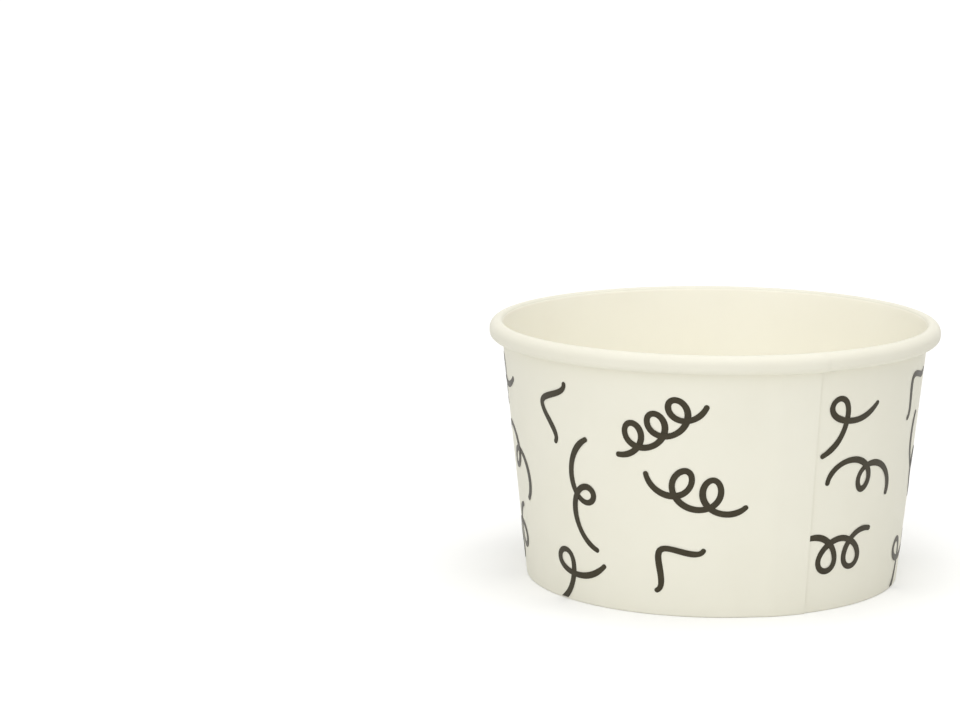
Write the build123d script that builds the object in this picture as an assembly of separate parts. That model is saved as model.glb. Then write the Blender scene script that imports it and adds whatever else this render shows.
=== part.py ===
from build123d import *
import math
import os

# Paper ice cream cup, in millimetres: +Z up, origin at the centre of the ring that it stands on.

# Overall size
rim_diameter = 95.0        # outside of the rolled rim
height = 54.8              # standing ring to the crest of the rim
base_diameter = 78.8       # outside of the wall at the standing ring

# Paperboard
board = 0.40               # side wall blank
base_board = 0.35          # base disc
seal_gap = 0.05            # melted film between the layers of the bottom seal

# Rolled rim: the top edge of the blank, curled outwards, down and back to the wall
roll_overhang = 2.75       # from the inside of the wall, carried up to the crest, to the outside of the rim
roll_height = 3.8
roll_crest_radius = 1.9
roll_lower_radius = 1.3
tuck_height = 1.2          # how far the raw edge stands up inside the curl
roll_gap = 0.15            # between the curled edge and the wall

# Lap seam of the side wall
seam_azimuth = -61.4       # degrees from +X, where the outer ply ends
lap_width = 7.0
ramp_width = 4.5           # over which the outer ply climbs onto the inner one
rim_swell = 0.15           # how far the doubled board makes the rim stand out

# Bottom seal: the wall folds inwards and up round the skirt of the base disc
recess_depth = 7.0         # standing ring to the underside of the base disc
fold_leg_height = 6.0
fold_radius = 0.4          # outside of each bend of the fold
disc_corner_radius = 0.7

# Printed curls: looped pen strokes in staggered rows round the wall
ink = 0.04                 # thickness of the printed line
ink_stand_off = 0.07       # its corners stand this far off the wall, so that its flats clear the curve
pass_lift = 0.12           # extra where the line passes over itself
stroke = 1.5               # width of the pen line
tip_width = 0.8            # width of its ends
step_angle = 52.0          # degrees of a loop between two points of the line, at most
row_levels = [0.757, 0.474, 0.173]  # heights of the rows, as shares of the cup's height
row_starts = [8.0, 18.0, 11.0]      # degrees from the seam to the first curl of each row
curls_in_row = 10
curl_wander = 2.5          # how far curls stray up and down from their row
lean_wander = 18.0         # degrees by which they stray from their form's lean
curl_size = 10.0           # length that the forms below are shares of
# Each form: loops, advance from loop to loop, half width, half height, then in degrees its lean, its tail
# and the bow of its course over one curl_size
curl_forms = [
    (1, 1.00, 0.39, 0.36, 35, 60, -34),
    (2, 0.66, 0.34, 0.35, -20, 45, 29),
    (1, 0.90, 0.36, 0.32, 150, 75, 46),
    (0, 1.20, 0.05, 0.30, 60, 10, 6),
    (2, 0.62, 0.33, 0.34, 195, 50, -29),
    (1, 1.20, 0.44, 0.30, -70, 55, 34),
    (3, 0.56, 0.30, 0.30, 15, 25, 17),
]

rim_radius = rim_diameter / 2
base_radius = base_diameter / 2
mouth_radius = rim_radius - roll_overhang
flare = mouth_radius - base_radius
wall_angle = math.atan2(flare, height) + math.asin(board / math.hypot(flare, height))
roll_bottom = height - roll_height
crest_half_turn = (math.pi / 2 - wall_angle) / 2
mouth_crest_radius = (roll_overhang - roll_crest_radius) / math.tan(crest_half_turn)
disc_inset = board + seal_gap
leg_inset = disc_inset + base_board + seal_gap
lap_angle = math.degrees(lap_width / base_radius)
ramp_angle = math.degrees(ramp_width / base_radius)
ply_root = board / 4       # depth to which the added ply is rooted in the wall that carries it
same_point = 1e-6          # two points closer than this are one


def wall_radius(z, inset=0.0):
    """Radius at height z of the cone that lies inset from the wall's outer face."""
    return base_radius + z * math.tan(wall_angle) - inset / math.cos(wall_angle)


def direction(start, end):
    """Unit vector from one flat point to another."""
    length = math.dist(start, end)
    return (end[0] - start[0]) / length, (end[1] - start[1]) / length


def right_side(points, distances):
    """The corners of the line that runs to the right of an open line, at one distance for each point."""
    moved = []
    last = len(points) - 1
    for i, ((x, y), distance) in enumerate(zip(points, distances)):
        before = direction(points[max(i - 1, 0)], points[max(i, 1)])
        after = direction(points[min(i, last - 1)], points[min(i + 1, last)])
        bisector = (before[0] + after[0], before[1] + after[1])
        stretch = distance * 2 / (bisector[0] ** 2 + bisector[1] ** 2)
        moved.append((x + bisector[1] * stretch, y - bisector[0] * stretch))
    return moved


def rounded_face(corners, bends):
    """Face in the XZ plane. Each bend rounds its corner to a radius by a number of straight runs."""
    outline = []
    for i, (radius, runs) in enumerate(bends):
        corner = Vector(*corners[i])
        if radius == 0:
            outline.append(corner)
            continue
        back = (Vector(*corners[i - 1]) - corner).normalized()
        on = (Vector(*corners[(i + 1) % len(corners)]) - corner).normalized()
        reach = radius / math.tan(math.radians(back.get_angle(on) / 2))
        arc = Edge.make_tangent_arc(corner + back * reach, -back, corner + on * reach)
        outline += [arc @ (step / runs) for step in range(runs + 1)]
    met = [point for i, point in enumerate(outline) if (point - outline[i - 1]).length > same_point]
    return Plane.XZ * make_face(Polyline(*met, close=True))


def turned(section, start_angle=0.0, angle=360.0):
    """The section revolved about the cup's axis from one azimuth through an angle."""
    return Rot(Z=start_angle) * revolve(section, Axis.Z, angle)


def side_wall_section():
    """Section of the blank: folded leg, standing ring, wall, and the curl with its raw edge tucked in."""
    sharp = (0, 0)
    fold = (fold_radius, 1)
    food_side = [
        (wall_radius(fold_leg_height, leg_inset), fold_leg_height),
        (wall_radius(board, leg_inset), board),
        (wall_radius(board, board), board),
        (mouth_radius, height),
        (rim_radius, height),
        (rim_radius, roll_bottom),
        (wall_radius(roll_bottom, -roll_gap), roll_bottom),
        (wall_radius(roll_bottom + tuck_height, -roll_gap), roll_bottom + tuck_height),
    ]
    print_side = right_side(food_side, [board] * len(food_side))
    outside_bends = [(mouth_crest_radius, 1), (roll_crest_radius, 3), (roll_lower_radius, 2)]
    mouth_inside = (mouth_crest_radius - board, 1)
    inside_bends = [mouth_inside, (roll_crest_radius - board, 2), (roll_lower_radius - board, 1)]
    food_bends = [sharp, sharp, sharp, *outside_bends, sharp, sharp]
    print_bends = [sharp, fold, fold, *inside_bends, sharp, sharp]
    return rounded_face(food_side + print_side[::-1], food_bends + print_bends[::-1])


def outer_ply_section(thickness):
    """Section of a layer on the outside of the wall, rooted a little way into it and into the crest."""
    shoulder = height - mouth_crest_radius
    top = shoulder + (thickness + board / 2) * math.tan(crest_half_turn)
    corners = [
        (wall_radius(0, -thickness), 0),
        (wall_radius(top, -thickness), top),
        (wall_radius(shoulder, ply_root), shoulder),
        (wall_radius(fold_radius, ply_root), fold_radius),
        (wall_radius(0, fold_radius), 0),
    ]
    return rounded_face(corners, [(fold_radius, 1)] + [(0, 0)] * 4)


def outer_ply():
    """The lapped end of the blank: it climbs onto the inner ply over the ramp and ends at the seam."""
    lap_start = seam_azimuth - lap_angle
    flush = outer_ply_section(0)
    raised = outer_ply_section(board)
    ramp = loft([Rot(Z=lap_start - ramp_angle) * flush, Rot(Z=lap_start) * raised], ruled=True)
    return turned(raised, lap_start, lap_angle) + ramp


def inner_ply_edge():
    """The groove on the food side between the inner ply's cut edge and the outer ply that leaves it."""
    start = math.radians(seam_azimuth - lap_angle - ramp_angle)
    end = math.radians(seam_azimuth - lap_angle)
    sections = []
    for z in (board, height - mouth_crest_radius):
        inside = wall_radius(z, board)
        outside = wall_radius(z)
        corners = [
            (inside * math.cos(start), inside * math.sin(start), z),
            (inside * math.cos(end), inside * math.sin(end), z),
            (outside * math.cos(end), outside * math.sin(end), z),
        ]
        sections.append(make_face(Polyline(*corners, close=True)))
    return loft(sections, ruled=True)


def rim_lap():
    """The outside of the curl where the board is double."""
    low = roll_bottom - rim_swell
    crest = rim_radius - roll_crest_radius
    corners = [
        (crest, height),
        (rim_radius + rim_swell, height),
        (rim_radius + rim_swell, low),
        (wall_radius(low, -board), low),
        (wall_radius(low, -board), roll_bottom + ply_root),
        (rim_radius - ply_root, roll_bottom + ply_root),
        (rim_radius - ply_root, height - ply_root),
        (crest, height - ply_root),
    ]
    outside_bends = [(roll_crest_radius, 3), (roll_lower_radius, 2)]
    inside_bends = [(roll_lower_radius - ply_root, 2), (roll_crest_radius - ply_root, 3)]
    bends = [(0, 0), *outside_bends, (0, 0), (0, 0), *inside_bends, (0, 0)]
    return turned(rounded_face(corners, bends), seam_azimuth - lap_angle, lap_angle)


def make_side_wall():
    """The whole blank as it stands after curling, lapping and folding."""
    return turned(side_wall_section()) + outer_ply() + rim_lap() - inner_ply_edge()


def make_base_disc():
    """The base disc with its skirt turned down into the fold of the wall."""
    top = recess_depth + base_board
    upper_side = [
        (0, top),
        (wall_radius(top, disc_inset), top),
        (wall_radius(disc_inset, disc_inset), disc_inset),
    ]
    lower_side = right_side(upper_side, [base_board] * len(upper_side))
    bends = [(0, 0), (disc_corner_radius, 1), (0, 0), (0, 0), (disc_corner_radius - base_board, 1), (0, 0)]
    return turned(rounded_face(upper_side + lower_side[::-1], bends))


def pen_line(loops, advance, half_width, half_height, lean, tail, bow):
    """Points of a looped line about its middle, each with the height of the line above the paper."""
    first = -180 - tail
    last = 360 * max(loops - 1, 0) + 180 + tail
    middle = math.radians((first + last) / 2)
    steps = math.ceil((last - first) / step_angle)
    tilt = math.radians(lean)
    bow_radius = 1 / math.radians(bow)
    points, lifts = [], []
    for i in range(steps + 1):
        turn = math.radians(first + (last - first) * i / steps)
        course = (advance * (turn - middle) / (2 * math.pi) - half_width * math.sin(turn)) / bow_radius
        off_centre = bow_radius - half_height * math.cos(turn)
        x = curl_size * off_centre * math.sin(course)
        y = curl_size * (bow_radius - off_centre * math.cos(course))
        points.append((x * math.cos(tilt) - y * math.sin(tilt), x * math.sin(tilt) + y * math.cos(tilt)))
        lifts.append(pass_lift * (1 + math.sin(turn)) / 2)
    return points, lifts


def with_tips(points, lifts):
    """The line made longer at both ends by its narrow tips, with the width at each point."""
    back = direction(points[1], points[0])
    on = direction(points[-2], points[-1])
    reach = stroke / 2
    start = (points[0][0] + back[0] * reach, points[0][1] + back[1] * reach)
    end = (points[-1][0] + on[0] * reach, points[-1][1] + on[1] * reach)
    widths = [tip_width] + [stroke] * len(points) + [tip_width]
    return [start, *points, end], [lifts[0], *lifts, lifts[-1]], widths


def on_wall(offset, azimuth, z, stand_off):
    """The place off the wall's outside that lies at a flat offset round and up from an azimuth and height."""
    angle = math.radians(azimuth) + offset[0] / wall_radius(z)
    level = z + offset[1] * math.cos(wall_angle)
    radius = wall_radius(level, -stand_off)
    return Vector(radius * math.cos(angle), radius * math.sin(angle), level)


def flat_faced(sections):
    """Solid with flat three-cornered faces through a row of four-cornered cross-sections."""
    faces = [Face(Wire.make_polygon(sections[0])), Face(Wire.make_polygon(sections[-1]))]
    for near, far in zip(sections, sections[1:]):
        for i in range(len(near)):
            faces.append(Face(Wire.make_polygon([near[i - 1], near[i], far[i]])))
            faces.append(Face(Wire.make_polygon([near[i - 1], far[i], far[i - 1]])))
    return Solid(Shell(faces))


def curl(form, extra_lean, azimuth, z):
    """A printed stroke bent round the wall, from the thin cross-sections of its line."""
    loops, advance, half_width, half_height, lean, tail, bow = form
    line, lifts, widths = with_tips(
        *pen_line(loops, advance, half_width, half_height, lean + extra_lean, tail, bow)
    )
    right = right_side(line, [width / 2 for width in widths])
    left = right_side(line, [-width / 2 for width in widths])
    sections = []
    for point, right_edge, left_edge, lift in zip(line, right, left, lifts):
        angle = math.radians(azimuth) + point[0] / wall_radius(z)
        outward = Vector(math.cos(angle), math.sin(angle), -math.tan(wall_angle)).normalized() * ink
        low_right = on_wall(right_edge, azimuth, z, ink_stand_off + lift)
        low_left = on_wall(left_edge, azimuth, z, ink_stand_off + lift)
        sections.append([low_right, low_left, low_left + outward, low_right + outward])
    return flat_faced(sections)


def cut_to(pieces, plane):
    """What lies of the pieces on the side that the plane faces."""
    kept = []
    for piece in pieces:
        reach = [plane.to_local_coords(vertex.center()).Z for vertex in piece.vertices()]
        if min(reach) >= 0:
            kept.append(piece)
        elif max(reach) > 0:
            kept += split(piece, plane, Keep.TOP).solids()
    return kept


def make_curls():
    """Rows of curls from the seam to the foot of the ramp, cut by the seam, the base and the rolled rim."""
    spacing = (360 - lap_angle - ramp_angle) / curls_in_row
    seam = Plane(origin=(0, 0, 0), x_dir=(0, 0, 1), z_dir=Vector(0, 1, 0).rotate(Axis.Z, seam_azimuth))
    above_base = Plane(origin=(0, 0, fold_radius))
    below_roll = Plane(origin=(0, 0, roll_bottom - roll_gap), z_dir=(0, 0, -1))
    curls = []
    for row, (share, start) in enumerate(zip(row_levels, row_starts)):
        for i in range(curls_in_row):
            form = curl_forms[(3 * i + 2 * row) % len(curl_forms)]
            extra_lean = lean_wander * math.sin(5 * i + 2 * row)
            azimuth = seam_azimuth + start + i * spacing
            level = share * height + curl_wander * math.sin(2 * i + row)
            pieces = [curl(form, extra_lean, azimuth, level)]
            if i == 0:
                pieces = cut_to(pieces, seam)
            curls += cut_to(cut_to(pieces, above_base), below_roll)
    return Compound(children=curls)


side_wall = make_side_wall()
base_disc = make_base_disc()
printed_curls = make_curls()

os.makedirs("parts", exist_ok=True)
for name, shape in (("sidewall", side_wall), ("base_disc", base_disc), ("printed_curls", printed_curls)):
    export_step(shape, f"parts/{name}.step")
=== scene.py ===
import math

import bmesh
import bpy
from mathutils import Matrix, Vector


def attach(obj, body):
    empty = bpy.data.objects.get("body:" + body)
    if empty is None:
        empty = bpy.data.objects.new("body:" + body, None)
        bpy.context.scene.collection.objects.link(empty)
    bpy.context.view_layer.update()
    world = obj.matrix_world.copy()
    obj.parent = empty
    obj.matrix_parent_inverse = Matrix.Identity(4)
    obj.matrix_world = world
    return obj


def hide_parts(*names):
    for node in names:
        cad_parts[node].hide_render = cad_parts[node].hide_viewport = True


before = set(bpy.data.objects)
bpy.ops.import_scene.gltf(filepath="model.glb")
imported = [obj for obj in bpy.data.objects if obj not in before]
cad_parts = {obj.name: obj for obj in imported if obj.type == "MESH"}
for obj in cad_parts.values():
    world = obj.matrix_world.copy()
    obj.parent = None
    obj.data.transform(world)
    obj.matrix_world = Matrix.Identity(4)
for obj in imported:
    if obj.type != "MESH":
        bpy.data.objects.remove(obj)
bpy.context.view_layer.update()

MM = 0.001                 # the shapes below are worked out in millimetres

# Overall size. The rim, its overhang and its swell are a hair smaller than the solid's, so that the smooth
# circle stays inside the solid's box
rim_diameter = 94.97
height = 54.8
base_diameter = 78.8

# Paperboard
board = 0.40
base_board = 0.35
seal_gap = 0.05

# Rolled rim
roll_overhang = 2.735
roll_height = 3.8
roll_crest_radius = 1.9
roll_lower_radius = 1.3
tuck_height = 1.2
roll_gap = 0.15
tuck_bend_radius = 0.25    # where the curl turns up to its raw edge

# Lap seam of the side wall
seam_azimuth = -61.4
lap_width = 7.0
ramp_width = 4.5
rim_swell = 0.14
rim_shoulder = 0.5         # degrees over which the swollen rim sinks back at the seam

# Bottom seal
recess_depth = 7.0
fold_leg_height = 6.0
fold_radius = 0.4
disc_corner_radius = 0.7

# Printed curls
ink = 0.03
ink_stand_off = 0.02
pass_lift = 0.07           # how far the line rises to pass over itself
stroke = 1.3
pen_wobble = 0.04          # how far the width of the line strays, as a share of it
wobble_rates = 0.7, 0.31   # of its two waves, in radians per millimetre of line
tip_length = 2.5           # over which its ends grow thinner
tip_thinning = 0.15        # by this share
row_levels = [0.757, 0.474, 0.173]  # heights of the rows, as shares of the cup's
row_starts = [8.0, 18.0, 11.0]      # degrees from the seam to the first curl of each
curls_in_row = 10
curl_wander = 2.5          # millimetres up or down from its row
lean_wander = 18.0         # degrees either way
curl_size = 10.0
# Each form: loops, then in curl sizes its advance from loop to loop, half width and half height, then in
# degrees its lean, its tail and the bow of its course over one curl size
curl_forms = [
    (1, 1.00, 0.39, 0.36, 35, 60, -34),
    (2, 0.66, 0.34, 0.35, -20, 45, 29),
    (1, 0.90, 0.36, 0.32, 150, 75, 46),
    (0, 1.20, 0.00, 0.30, 60, 10, 6),
    (2, 0.62, 0.33, 0.34, 195, 50, -29),
    (1, 1.20, 0.44, 0.30, -70, 55, 34),
    (3, 0.56, 0.30, 0.30, 15, 25, 17),
]

rim_radius = rim_diameter / 2
base_radius = base_diameter / 2
mouth_radius = rim_radius - roll_overhang
flare = mouth_radius - base_radius
wall_angle = math.atan2(flare, height) + math.asin(board / math.hypot(flare, height))
roll_bottom = height - roll_height
crest_half_turn = (math.pi / 2 - wall_angle) / 2
mouth_crest_radius = (roll_overhang - roll_crest_radius) / math.tan(crest_half_turn)
disc_inset = board + seal_gap
leg_inset = disc_inset + base_board + seal_gap
lap_angle = math.degrees(lap_width / base_radius)
ramp_angle = math.degrees(ramp_width / base_radius)
lap_start = seam_azimuth - lap_angle
plain_angle = 360 - lap_angle - ramp_angle

# How finely the shapes are divided
wall_levels = [3.0 * i for i in range(1, 17)] + [49.5, 50.6, 51.6, 52.4, 53.2]
shoulder_steps = 4
plain_steps = 340
ramp_steps = 8
lap_steps = 14
disc_rings = [8.0, 16.0, 24.0, 32.0]
disc_steps = 360
step_angle = 7.0           # the most degrees of a loop from one point of a pen line to the next
cap_steps = 6              # for each quarter of its round ends

groove_fade = 51.6, 53.2   # heights between which the groove under the ramp fades out
ply_fade = 52.4, 53.2      # heights between which the outer ply's lift fades out
lifted_depth = 0.45 * board  # points of the fold up to this far inside the wall's face go with the ply
on_line = 0.01             # a point this close to a line counts as on it
same_point = 1e-6          # points this close are one
smooth_angle = 35.0        # an edge that turns by more degrees is sharp
# The food side is one paper, drawn in two colours: lighter on the inside, as painted light, and darker on
# the rim, as painted shade.
INSIDE_PAINTED_LIGHT, RIM_PAINTED_SHADE, PRINT_SIDE, CUT_EDGE = 0, 1, 2, 3


def wall_radius(z, inset=0.0):
    """Radius at height z of the cone that lies inset from the wall's outer face."""
    return base_radius + z * math.tan(wall_angle) - inset / math.cos(wall_angle)


def direction(start, end):
    """Unit vector from one flat point to another."""
    length = math.dist(start, end)
    return (end[0] - start[0]) / length, (end[1] - start[1]) / length


def right_side(points, distances):
    """The corners of the line that runs to the right of an open line, at one distance for each point."""
    moved = []
    last = len(points) - 1
    for i, ((x, y), distance) in enumerate(zip(points, distances)):
        before = direction(points[max(i - 1, 0)], points[max(i, 1)])
        after = direction(points[min(i, last - 1)], points[min(i + 1, last)])
        bisector = (before[0] + after[0], before[1] + after[1])
        stretch = distance * 2 / (bisector[0] ** 2 + bisector[1] ** 2)
        moved.append((x + bisector[1] * stretch, y - bisector[0] * stretch))
    return moved


def bend(before, corner, after, radius, runs):
    """Points that round a corner to a radius."""
    back = direction(corner, before)
    on = direction(corner, after)
    half = math.acos(max(-1.0, min(1.0, back[0] * on[0] + back[1] * on[1]))) / 2
    middle = direction((0, 0), (back[0] + on[0], back[1] + on[1]))
    away = radius / math.sin(half)
    centre = (corner[0] + middle[0] * away, corner[1] + middle[1] * away)
    reach = radius / math.tan(half)
    start = (corner[0] + back[0] * reach - centre[0], corner[1] + back[1] * reach - centre[1])
    side = math.copysign(1, back[1] * on[0] - back[0] * on[1])
    turn = side * (math.pi - 2 * half)
    points = []
    for step in range(runs + 1):
        angle = turn * step / runs
        points.append((
            centre[0] + start[0] * math.cos(angle) - start[1] * math.sin(angle),
            centre[1] + start[0] * math.sin(angle) + start[1] * math.cos(angle),
        ))
    return points


def rounded(corners, bends):
    """The points of an open line with its corners rounded, one (radius, runs) for each corner."""
    line = []
    for i, (radius, runs) in enumerate(bends):
        if radius == 0:
            line.append(corners[i])
            continue
        line += bend(corners[i - 1], corners[i], corners[i + 1], radius, runs)
    return [p for i, p in enumerate(line) if i == 0 or math.dist(p, line[i - 1]) > same_point]


def filled_in(line, levels):
    """The line with a point added at each height along its long straight."""
    longest = max(range(len(line) - 1), key=lambda i: math.dist(line[i], line[i + 1]))
    (x0, z0), (x1, z1) = line[longest], line[longest + 1]
    added = [(x0 + (x1 - x0) * (z - z0) / (z1 - z0), z) for z in levels]
    return line[:longest + 1] + added + line[longest + 1:]


def eased(x):
    """0 to 1 with soft ends."""
    x = max(0.0, min(1.0, x))
    return x * x * (3 - 2 * x)


def faded(z, heights):
    """1 below the first of two heights and 0 above the second, with soft ends between."""
    return 1 - eased((z - heights[0]) / (heights[1] - heights[0]))


def side_wall_line(outer_lift, groove, swell):
    """Section of the blank: its food side from the folded leg to the raw edge, and its print side back.

    outer_lift moves the outside of the wall out, groove moves its inside out, and swell widens the curl."""
    outside = rim_radius + swell
    low = roll_bottom - swell
    crest_radius = roll_crest_radius + swell
    tuck_inset = -roll_gap - outer_lift
    food = [
        (wall_radius(fold_leg_height, leg_inset), fold_leg_height),
        (wall_radius(board, leg_inset), board),
        (wall_radius(board, board), board),
        (mouth_radius, height),
        (outside, height),
        (outside, low),
        (wall_radius(low, tuck_inset), low),
        (wall_radius(roll_bottom + tuck_height, tuck_inset), roll_bottom + tuck_height),
    ]
    print_side = right_side(food, [board] * len(food))
    sharp = (0, 0)
    fold = (fold_radius, 8)
    food_bends = [sharp, sharp, sharp, (mouth_crest_radius, 8), (crest_radius, 16), (roll_lower_radius, 14),
                  (tuck_bend_radius, 4), sharp]
    print_bends = [sharp, fold, fold, (mouth_crest_radius - board, 6), (crest_radius - board, 10),
                   (roll_lower_radius - board, 8), sharp, sharp]
    inner = []
    for x, z in filled_in(rounded(food, food_bends), wall_levels):
        if z > board and abs(x - wall_radius(z, board)) < on_line:
            x += groove * faded(z, groove_fade)
        inner.append((x, z))
    outer = []
    for x, z in filled_in(rounded(print_side, print_bends), wall_levels):
        if -lifted_depth < x - wall_radius(z) < on_line:
            x += outer_lift * faded(z, ply_fade)
        outer.append((x, z))
    return inner, outer[::-1]


def mesh_object(name, vertices, faces, kinds=None):
    """A mesh object in metres from millimetre corners, with coinciding corners made one.

    kinds gives each face the number of its material."""
    index, unique, keys = {}, [], []
    for vertex in vertices:
        key = tuple(round(c / same_point) for c in vertex)
        if key not in index:
            index[key] = len(unique)
            unique.append([c * MM for c in vertex])
        keys.append(index[key])
    clean, clean_kinds = [], []
    for face, kind in zip(faces, kinds or [0] * len(faces)):
        corners = []
        for i in face:
            if keys[i] not in corners:
                corners.append(keys[i])
        if len(corners) > 2:
            clean.append(corners)
            clean_kinds.append(kind)
    mesh = bpy.data.meshes.new(name)
    mesh.from_pydata(unique, [], clean)
    mesh.polygons.foreach_set("material_index", clean_kinds)
    work = bmesh.new()
    work.from_mesh(mesh)
    bmesh.ops.recalc_face_normals(work, faces=work.faces)
    work.to_mesh(mesh)
    work.free()
    mesh.polygons.foreach_set("use_smooth", [True] * len(mesh.polygons))
    mesh.set_sharp_from_angle(angle=math.radians(smooth_angle))
    thing = bpy.data.objects.new(name, mesh)
    bpy.context.scene.collection.objects.link(thing)
    return thing


def on_rim(x, z):
    """Whether a point of the food side lies past the wall's inside, on the mouth's bend or in the curl."""
    on_bend = z > groove_fade[1] and x > wall_radius(z, board) + 2 * on_line
    in_curl = z > roll_bottom - board and x > wall_radius(z, -roll_gap / 2)
    return on_bend or in_curl


def turned(name, columns):
    """A closed ring through columns, a list of (azimuth, (food side, print side)) in order.

    Two sections at one azimuth are joined by a cut edge of the board, and so are the last and the first."""
    vertices, faces, kinds = [], [], []
    food_count = len(columns[0][1][0])
    count = food_count + len(columns[0][1][1])
    for azimuth, (food, print_side) in columns:
        angle = math.radians(azimuth)
        vertices += [(x * math.cos(angle), x * math.sin(angle), z) for x, z in food + print_side]
    for j in range(len(columns)):
        k = (j + 1) % len(columns)
        cut = k == 0 or columns[j][0] == columns[k][0]
        for i in range(count):
            n = (i + 1) % count
            faces.append((j * count + i, k * count + i, k * count + n, j * count + n))
            if cut or i in (food_count - 1, count - 1):
                kinds.append(CUT_EDGE)
            elif i >= food_count:
                kinds.append(PRINT_SIDE)
            else:
                kinds.append(RIM_PAINTED_SHADE if on_rim(*columns[j][1][0][i]) else INSIDE_PAINTED_LIGHT)
    return mesh_object(name, vertices, faces, kinds)


def make_side_wall():
    """The blank from the seam round: plain wall, ramp with the groove inside it, and doubled lap."""
    past_seam = [rim_shoulder * i / shoulder_steps for i in range(shoulder_steps)]
    past_seam += [plain_angle * i / plain_steps for i in range(1, plain_steps + 1)]
    columns = []
    for past in past_seam:
        swell = rim_swell * (1 - eased(past / rim_shoulder))
        columns.append((seam_azimuth + past, side_wall_line(0, 0, swell)))
    for i in range(1, ramp_steps + 1):
        share = i / ramp_steps
        line = side_wall_line(board * eased(share), board * share, rim_swell * eased(share))
        columns.append((lap_start + 360 - ramp_angle * (1 - share), line))
    for i in range(lap_steps + 1):
        columns.append((lap_start + 360 + lap_angle * i / lap_steps, side_wall_line(board, 0, rim_swell)))
    return turned("cup_wall", columns)


def make_base_disc():
    """The base disc with its skirt turned down into the fold of the wall."""
    top = recess_depth + base_board
    upper = [
        (0, top),
        (wall_radius(top, disc_inset), top),
        (wall_radius(disc_inset, disc_inset), disc_inset),
    ]
    lower = right_side(upper, [base_board] * len(upper))
    upper_line = rounded(upper, [(0, 0), (disc_corner_radius, 8), (0, 0)])
    lower_line = rounded(lower, [(0, 0), (disc_corner_radius - base_board, 6), (0, 0)])
    upper_line = upper_line[:1] + [(x, top) for x in disc_rings] + upper_line[1:]
    lower_line = lower_line[:1] + [(x, recess_depth) for x in disc_rings] + lower_line[1:]
    section = upper_line + lower_line[::-1]
    count = len(section)
    vertices, faces = [], []
    for j in range(disc_steps):
        angle = 2 * math.pi * j / disc_steps
        vertices += [(x * math.cos(angle), x * math.sin(angle), z) for x, z in section]
        k = (j + 1) % disc_steps
        for i in range(count - 1):
            faces.append((j * count + i, k * count + i, k * count + i + 1, j * count + i + 1))
    return mesh_object("cup_base", vertices, faces)


def pen_line(loops, advance, half_width, half_height, lean, tail, bow):
    """Points of a looped line about its middle, each with the height of the line above the paper."""
    first = -180 - tail
    last = 360 * max(loops - 1, 0) + 180 + tail
    middle = math.radians((first + last) / 2)
    steps = math.ceil((last - first) / step_angle)
    tilt = math.radians(lean)
    bow_radius = 1 / math.radians(bow)
    points, lifts = [], []
    for i in range(steps + 1):
        turn = math.radians(first + (last - first) * i / steps)
        course = (advance * (turn - middle) / (2 * math.pi) - half_width * math.sin(turn)) / bow_radius
        off_centre = bow_radius - half_height * math.cos(turn)
        x = curl_size * off_centre * math.sin(course)
        y = curl_size * (bow_radius - off_centre * math.cos(course))
        points.append((x * math.cos(tilt) - y * math.sin(tilt), x * math.sin(tilt) + y * math.cos(tilt)))
        lifts.append(pass_lift * (1 + math.sin(turn)) / 2)
    return points, lifts


def pen_stroke(points, lifts, phase):
    """The line with round ends, and its width at each point, which strays a little as a pen's does."""
    back = direction(points[1], points[0])
    on = direction(points[-2], points[-1])
    runs = [0.0]
    for near, far in zip(points, points[1:]):
        runs.append(runs[-1] + math.dist(near, far))
    widths = []
    for run in runs:
        taper = 1 - tip_thinning * (1 - eased(min(run, runs[-1] - run) / tip_length))
        waves = math.sin(wobble_rates[0] * run + phase) + math.sin(wobble_rates[1] * run)
        widths.append(stroke * taper * (1 + pen_wobble * waves))
    start, end, start_widths, end_widths = [], [], [], []
    for k in range(1, cap_steps):
        turn = math.pi / 2 * k / cap_steps
        out, share = math.cos(turn) / 2, math.sin(turn)
        start.append((points[0][0] + back[0] * out * widths[0], points[0][1] + back[1] * out * widths[0]))
        start_widths.append(widths[0] * share)
        end.append((points[-1][0] + on[0] * out * widths[-1], points[-1][1] + on[1] * out * widths[-1]))
        end_widths.append(widths[-1] * share)
    line = start + points + end[::-1]
    all_lifts = [lifts[0]] * len(start) + lifts + [lifts[-1]] * len(end)
    return line, all_lifts, start_widths + widths + end_widths[::-1]


def on_wall(offset, azimuth, z, stand_off):
    """The place off the wall's outside at a flat offset, round and up, from an azimuth and a height."""
    angle = math.radians(azimuth) + offset[0] / wall_radius(z)
    level = z + offset[1] * math.cos(wall_angle)
    radius = wall_radius(level, -stand_off)
    return radius * math.cos(angle), radius * math.sin(angle), level


def curl_surface(form, extra_lean, azimuth, z, phase, vertices, faces):
    """Adds one printed stroke, bent round the wall, with six corners for each point of its line."""
    loops, advance, half_width, half_height, lean, tail, bow = form
    points, lifts = pen_line(loops, advance, half_width, half_height, lean + extra_lean, tail, bow)
    line, lifts, widths = pen_stroke(points, lifts, phase)
    right = right_side(line, [width / 2 for width in widths])
    left = right_side(line, [-width / 2 for width in widths])
    first = len(vertices)
    for right_edge, left_edge, lift in zip(right, left, lifts):
        middle = ((right_edge[0] + left_edge[0]) / 2, (right_edge[1] + left_edge[1]) / 2)
        for stand_off, edges in ((ink_stand_off + lift, (right_edge, middle, left_edge)),
                                 (ink_stand_off + lift + ink, (left_edge, middle, right_edge))):
            vertices += [on_wall(edge, azimuth, z, stand_off) for edge in edges]
    count = len(line)
    for j in range(count - 1):
        a, b = first + 6 * j, first + 6 * (j + 1)
        for i in range(6):
            n = (i + 1) % 6
            faces.append((a + i, b + i, b + n, a + n))
    faces.append(tuple(first + i for i in range(6)))
    faces.append(tuple(first + 6 * (count - 1) + i for i in range(6)))


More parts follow.
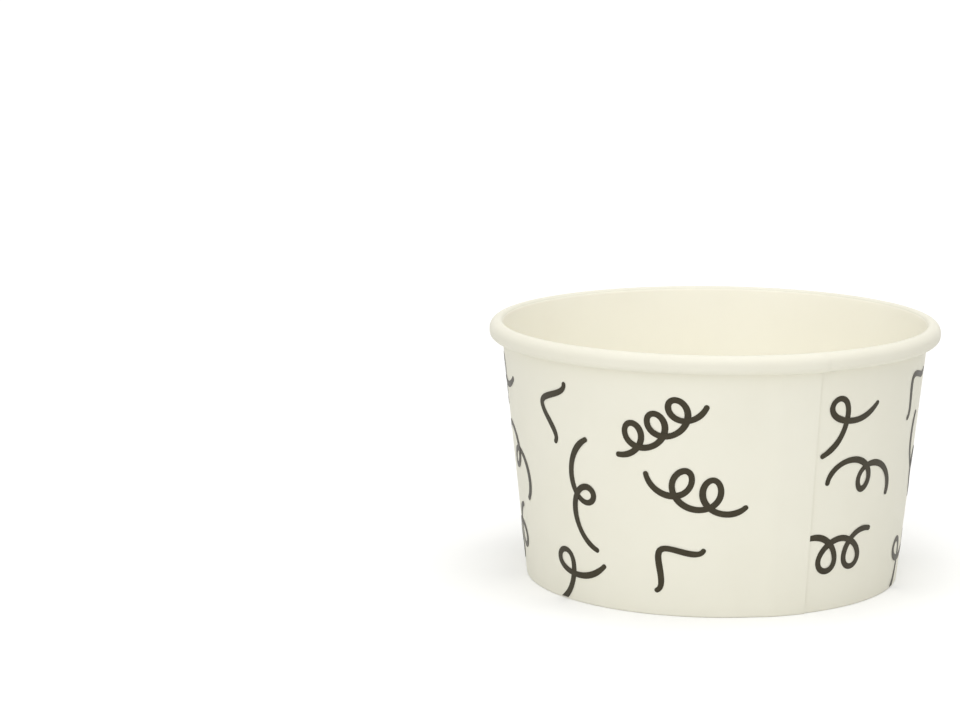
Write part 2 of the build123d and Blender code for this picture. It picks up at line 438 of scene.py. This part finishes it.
def cut_away(thing, place, normal):
    """Removes what lies behind a plane and closes the cut."""
    work = bmesh.new()
    work.from_mesh(thing.data)
    everything = work.verts[:] + work.edges[:] + work.faces[:]
    cut = bmesh.ops.bisect_plane(work, geom=everything, dist=1e-8, plane_co=place, plane_no=normal,
                                 clear_inner=True)
    edges = [e for e in cut["geom_cut"] if isinstance(e, bmesh.types.BMEdge)]
    bmesh.ops.holes_fill(work, edges=edges)
    bmesh.ops.recalc_face_normals(work, faces=work.faces)
    work.to_mesh(thing.data)
    work.free()


def make_curls():
    """Rows of curls from the seam to the foot of the ramp, cut by the seam, the base and the rolled rim.

    The factors of i and row only mix the forms, leans and heights, so that neighbours differ."""
    spacing = plain_angle / curls_in_row
    whole, at_seam = ([], []), ([], [])
    for row, (share, start) in enumerate(zip(row_levels, row_starts)):
        for i in range(curls_in_row):
            form = curl_forms[(3 * i + 2 * row) % len(curl_forms)]
            extra_lean = lean_wander * math.sin(5 * i + 2 * row)
            azimuth = seam_azimuth + start + i * spacing
            level = share * height + curl_wander * math.sin(2 * i + row)
            curl_surface(form, extra_lean, azimuth, level, 3 * i + row, *(at_seam if i == 0 else whole))
    seam = math.radians(seam_azimuth)
    made = [mesh_object("curls_round_wall", *whole), mesh_object("curls_at_seam", *at_seam)]
    cut_away(made[1], (0, 0, 0), (-math.sin(seam), math.cos(seam), 0))
    for thing in made:
        cut_away(thing, (0, 0, fold_radius * MM), (0, 0, 1))
        cut_away(thing, (0, 0, (roll_bottom - roll_gap) * MM), (0, 0, -1))
    return made


# Looks: materials, floor, light and camera

noise_range = 0.3, 0.7     # between which most values of a noise lie
coat_unevenness = 0.05     # of the paper's roughness, either way
paper_grain_height = 0.00006
ink_colours = (0.028, 0.021, 0.006), (0.039, 0.031, 0.012)
ink_mottle_range = 0.35, 0.7
ink_roughness = 0.36, 0.48
ink_gloss = 0.34
ink_grain = 0.25
ink_grain_height = 0.00004

# Light: each lamp's name, its place in metres and its watts
lamps = [
    ("top", (0.0, 0.0, 1.4), 8.8),
    ("front", (0.0, -1.0, 1.0), 2.9),
    ("low", (-0.3, -1.4, 0.25), 4.1),
    ("left", (-0.7, -0.9, 0.9), 1.4),
    ("right", (0.9, 0.1, 1.2), 1.9),
]
lamp_size = 1.0
lamp_target = (0, 0, 0.03)
ambient = 0.50
floor_size = 14
floor_colour = (0.88, 0.88, 0.87)
floor_glow = 0.15, 0.60            # near the cup and far from it
floor_glow_distances = 0.25, 1.3   # from the cup, where the one ends and the other begins

# Camera: its place in metres, its turn to the right and its fall in radians, and its lens in millimetres
camera_place = (0, -0.6242, 0.1564)
camera_turn = -0.0794
camera_fall = 0.1758
camera_lens = 111.77
camera_sensor = 36.0
camera_clip = 0.01, 50


def new_material(name):
    """An empty node material with its output and a principled shader."""
    material = bpy.data.materials.new(name)
    material.use_nodes = True
    tree = material.node_tree
    tree.nodes.clear()
    output = tree.nodes.new("ShaderNodeOutputMaterial")
    shader = tree.nodes.new("ShaderNodeBsdfPrincipled")
    tree.links.new(shader.outputs["BSDF"], output.inputs["Surface"])
    return material, tree, shader


def noise(tree, scale, detail, rough=0.5):
    """The value of a noise in the object's own coordinates, with scale in features per metre."""
    place = tree.nodes.new("ShaderNodeTexCoord")
    made = tree.nodes.new("ShaderNodeTexNoise")
    made.inputs["Scale"].default_value = scale
    made.inputs["Detail"].default_value = detail
    made.inputs["Roughness"].default_value = rough
    tree.links.new(place.outputs["Object"], made.inputs["Vector"])
    return made.outputs["Fac"]


def spread(tree, source, low, high, to_low, to_high):
    """Maps a value's range to another."""
    made = tree.nodes.new("ShaderNodeMapRange")
    made.inputs["From Min"].default_value = low
    made.inputs["From Max"].default_value = high
    made.inputs["To Min"].default_value = to_low
    made.inputs["To Max"].default_value = to_high
    tree.links.new(source, made.inputs["Value"])
    return made.outputs["Result"]


def fine_bump(tree, shader, strength, distance):
    """A fine fibre grain on a shader's normals."""
    bump = tree.nodes.new("ShaderNodeBump")
    bump.inputs["Strength"].default_value = strength
    bump.inputs["Distance"].default_value = distance
    tree.links.new(noise(tree, scale=1500, detail=6, rough=0.65), bump.inputs["Height"])
    tree.links.new(bump.outputs["Normal"], shader.inputs["Normal"])


def blended(tree, share, first, second):
    """A colour between two."""
    made = tree.nodes.new("ShaderNodeMix")
    made.data_type = "RGBA"
    made.inputs["A"].default_value = (*first, 1)
    made.inputs["B"].default_value = (*second, 1)
    tree.links.new(share, made.inputs["Factor"])
    return made.outputs["Result"]


def paper(name, light, dark, rough, gloss, grain):
    """Paperboard: faint clouding in the pulp, a fine fibre grain and an uneven satin coat."""
    material, tree, shader = new_material(name)
    clouds = noise(tree, scale=70, detail=4, rough=0.6)
    coat = noise(tree, scale=240, detail=3)
    tone = blended(tree, spread(tree, clouds, *noise_range, 0, 1), light, dark)
    tree.links.new(tone, shader.inputs["Base Color"])
    uneven = spread(tree, coat, *noise_range, rough - coat_unevenness, rough + coat_unevenness)
    tree.links.new(uneven, shader.inputs["Roughness"])
    shader.inputs["Specular IOR Level"].default_value = gloss
    fine_bump(tree, shader, grain, paper_grain_height)
    return material


def printing_ink(name):
    """Dark ink with a soft sheen, which lies a little unevenly on the paper."""
    material, tree, shader = new_material(name)
    mottle = noise(tree, scale=420, detail=5, rough=0.7)
    tone = blended(tree, spread(tree, mottle, *ink_mottle_range, 0, 1), *ink_colours)
    tree.links.new(tone, shader.inputs["Base Color"])
    tree.links.new(spread(tree, mottle, *noise_range, *ink_roughness), shader.inputs["Roughness"])
    shader.inputs["Specular IOR Level"].default_value = ink_gloss
    fine_bump(tree, shader, ink_grain, ink_grain_height)
    return material


def combined(tree, operation, first, second):
    """The result of a math operation on two values."""
    made = tree.nodes.new("ShaderNodeMath")
    made.operation = operation
    tree.links.new(first, made.inputs[0])
    tree.links.new(second, made.inputs[1])
    return made.outputs["Value"]


def seen_directly(tree):
    """1 for camera, glossy and transmission rays, else 0."""
    path = tree.nodes.new("ShaderNodeLightPath").outputs
    seen = combined(tree, "MAXIMUM", path["Is Camera Ray"], path["Is Glossy Ray"])
    return combined(tree, "MAXIMUM", seen, path["Is Transmission Ray"])


def make_floor():
    """A floor that looks white where no shadow falls, also far behind the cup, where the lamps fade."""
    bpy.ops.mesh.primitive_plane_add(size=floor_size, location=(0, 0, 0))
    floor = bpy.context.object
    floor.name = "floor"
    material = bpy.data.materials.new("floor_white")
    material.use_nodes = True
    tree = material.node_tree
    tree.nodes.clear()
    output = tree.nodes.new("ShaderNodeOutputMaterial")
    matte = tree.nodes.new("ShaderNodeBsdfDiffuse")
    matte.inputs["Color"].default_value = (*floor_colour, 1)
    glow = tree.nodes.new("ShaderNodeEmission")
    place = tree.nodes.new("ShaderNodeTexCoord")
    distance = tree.nodes.new("ShaderNodeVectorMath")
    distance.operation = "LENGTH"
    tree.links.new(place.outputs["Object"], distance.inputs[0])
    level = spread(tree, distance.outputs["Value"], *floor_glow_distances, *floor_glow)
    tree.links.new(combined(tree, "MULTIPLY", level, seen_directly(tree)), glow.inputs["Strength"])
    both = tree.nodes.new("ShaderNodeAddShader")
    tree.links.new(matte.outputs["BSDF"], both.inputs[0])
    tree.links.new(glow.outputs["Emission"], both.inputs[1])
    tree.links.new(both.outputs["Shader"], output.inputs["Surface"])
    floor.data.materials.append(material)


def make_world():
    """Even studio light from all round, white where it is seen."""
    world = bpy.data.worlds.new("studio")
    bpy.context.scene.world = world
    world.use_nodes = True
    tree = world.node_tree
    tree.nodes.clear()
    output = tree.nodes.new("ShaderNodeOutputWorld")
    back = tree.nodes.new("ShaderNodeBackground")
    back.inputs["Color"].default_value = (1, 1, 1, 1)
    tree.links.new(spread(tree, seen_directly(tree), 0, 1, ambient, 1), back.inputs["Strength"])
    tree.links.new(back.outputs["Background"], output.inputs["Surface"])


def soft_lamp(name, place, watts):
    """A large square lamp that faces the cup."""
    data = bpy.data.lights.new(name, "AREA")
    data.shape = "SQUARE"
    data.size = lamp_size
    data.energy = watts
    lamp = bpy.data.objects.new(name, data)
    lamp.location = place
    lamp.rotation_mode = "QUATERNION"
    lamp.rotation_quaternion = (Vector(lamp_target) - Vector(place)).to_track_quat("-Z", "Y")
    bpy.context.scene.collection.objects.link(lamp)


def make_camera():
    """The photograph's camera, from the outlines of the cup in it."""
    data = bpy.data.cameras.new("camera")
    data.sensor_width = camera_sensor
    data.lens = camera_lens
    data.clip_start, data.clip_end = camera_clip
    camera = bpy.data.objects.new("camera", data)
    camera.location = camera_place
    level = math.cos(camera_fall)
    ahead = Vector((math.sin(camera_turn) * level, math.cos(camera_turn) * level, -math.sin(camera_fall)))
    camera.rotation_mode = "QUATERNION"
    camera.rotation_quaternion = ahead.to_track_quat("-Z", "Y")
    bpy.context.scene.collection.objects.link(camera)
    bpy.context.scene.camera = camera


# Each paper has a lighter and a darker colour, a roughness, a gloss and a grain
# The inside is the food side drawn lighter than it is: painted light, in place of light that shines through
# the thin paper wall.
inside_paper_painted_light = paper("inside_paper_painted_light", (0.958, 0.935, 0.828), (0.947, 0.921, 0.810), 0.50, 0.35, 0.2)
base_paper = paper("base_paper", (0.845, 0.824, 0.728), (0.833, 0.810, 0.711), 0.55, 0.25, 0.2)
# The rim is the food side drawn darker than it is: painted shade, so that its upward faces don't look too
# bright under the top lamps.
rim_paper_painted_shade = paper("rim_paper_painted_shade", (0.806, 0.783, 0.671), (0.794, 0.769, 0.654), 0.54, 0.25, 0.2)
print_side = paper("print_side_paper", (0.845, 0.825, 0.715), (0.832, 0.810, 0.695), 0.60, 0.25, 0.3)
cut_edge = paper("cut_edge_paper", (0.86, 0.845, 0.76), (0.83, 0.81, 0.72), 0.85, 0.1, 0.8)
dark_ink = printing_ink("dark_ink")

wall = make_side_wall()
for part_of_board in (inside_paper_painted_light, rim_paper_painted_shade, print_side, cut_edge):
    wall.data.materials.append(part_of_board)
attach(wall, "root")
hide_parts("sidewall")

base = make_base_disc()
base.data.materials.append(base_paper)
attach(base, "root")
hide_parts("base_disc")

for printed in make_curls():
    printed.data.materials.append(dark_ink)
    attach(printed, "root")
    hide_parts("printed_curls")

bpy.context.scene.view_settings.view_transform = "Standard"
make_floor()
make_world()
for lamp_name, lamp_place, lamp_watts in lamps:
    soft_lamp(lamp_name, lamp_place, lamp_watts)
make_camera()
